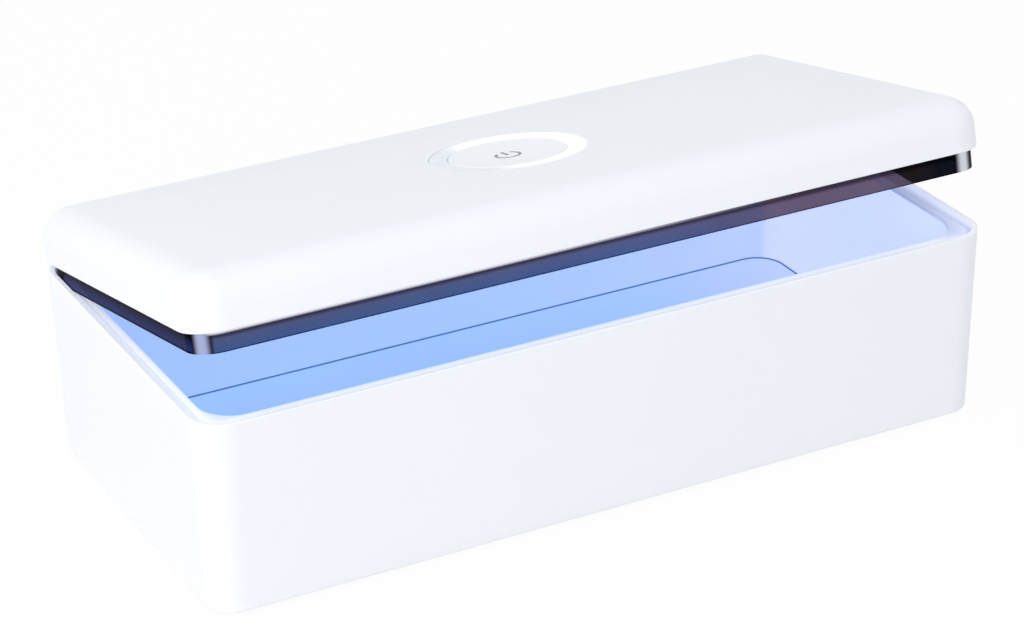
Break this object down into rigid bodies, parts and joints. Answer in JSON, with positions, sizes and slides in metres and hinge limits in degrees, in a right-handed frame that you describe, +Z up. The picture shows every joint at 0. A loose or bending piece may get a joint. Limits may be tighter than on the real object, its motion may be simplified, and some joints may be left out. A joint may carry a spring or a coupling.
{
  "type": "uv sanitizer box",
  "caption": "Long rounded box with a hinged lid shown ajar, a blue-lit chamber, a black light-seal skirt under the lid and a round press button in the lid's top.",
  "frame": {"origin": "level of the feet's soles, midway along the length and midway between the front face and the back of the hinge barrels", "axes": "+Z up, X along the long side, -Y towards the front, +Y towards the hinge"},
  "size_m": [0.22, 0.1116, 0.0871],
  "materials": {
    "shell_white": "fine satin white ABS",
    "lid_white": "fine satin white ABS",
    "cap_white": "fine satin white ABS",
    "cover_white": "fine spark-eroded texture",
    "liner_white": "smooth, UV-reflecting, tinted by the blue light",
    "floor_mirror": "bright reflecting plate",
    "panel_reflector": "bright reflecting sheet",
    "skirt_black": "polished piano black",
    "ring_diffuser": "translucent white light guide",
    "symbol_grey": "printed grey inlay",
    "window_quartz": "polished quartz",
    "foot_rubber": "matte silicone rubber",
    "screw_steel": "zinc-plated steel",
    "pin_steel": "ground steel",
    "bush_brass": "plain turned brass",
    "magnet_nickel": "nickel-plated",
    "inlet_steel": "stamped stainless shell",
    "board_white": "white solder mask on an aluminium core",
    "board_green": "green solder mask",
    "chip_black": "moulded epoxy",
    "part_metal": "plain can",
    "led_body": "ceramic package",
    "switch_metal": "stamped cover",
    "plunger_black": "moulded nylon"
  },
  "bodies": {
    "base": {"outer_shell": "shell_white", "liner_tub": "liner_white", "floor_plate": "floor_mirror", "bottom_cover": "cover_white", "feet": "foot_rubber", "cover_screws": "screw_steel", "hinge_pins": "pin_steel", "base_magnets": "magnet_nickel", "interlock_magnet": "magnet_nickel"},
    "lid": {"lid_shell": "lid_white", "skirt_ring": "skirt_black", "inner_panel": "panel_reflector", "quartz_windows": "window_quartz", "led_boards": "board_white", "uv_leds": "led_body", "control_board": "board_green", "main_chip": "chip_black", "buzzer": "chip_black", "power_parts": "part_metal", "hall_sensor": "chip_black", "ring_leds": "led_body", "tact_switch": "switch_metal", "power_inlet": "inlet_steel", "light_ring": "ring_diffuser", "lid_screws": "screw_steel", "board_screws": "screw_steel", "lid_magnets": "magnet_nickel", "hinge_bushes": "bush_brass"},
    "button": {"button_cap": "cap_white", "power_symbol": "symbol_grey", "switch_plunger": "plunger_black"}
  },
  "joints": [
    {"name": "lid_hinge", "type": "hinge", "parent": "base", "child": "lid", "pos_m": [0, 0.0532, 0.0538], "axis": [-1, 0, 0], "range_deg": [-11.9, 78.1]},
    {"name": "button_press", "type": "slide", "parent": "lid", "child": "button", "axis": [0, -0.2062, -0.9785], "range_m": [0, 0.0005], "stiffness_N_per_m": 3000}
  ]
}
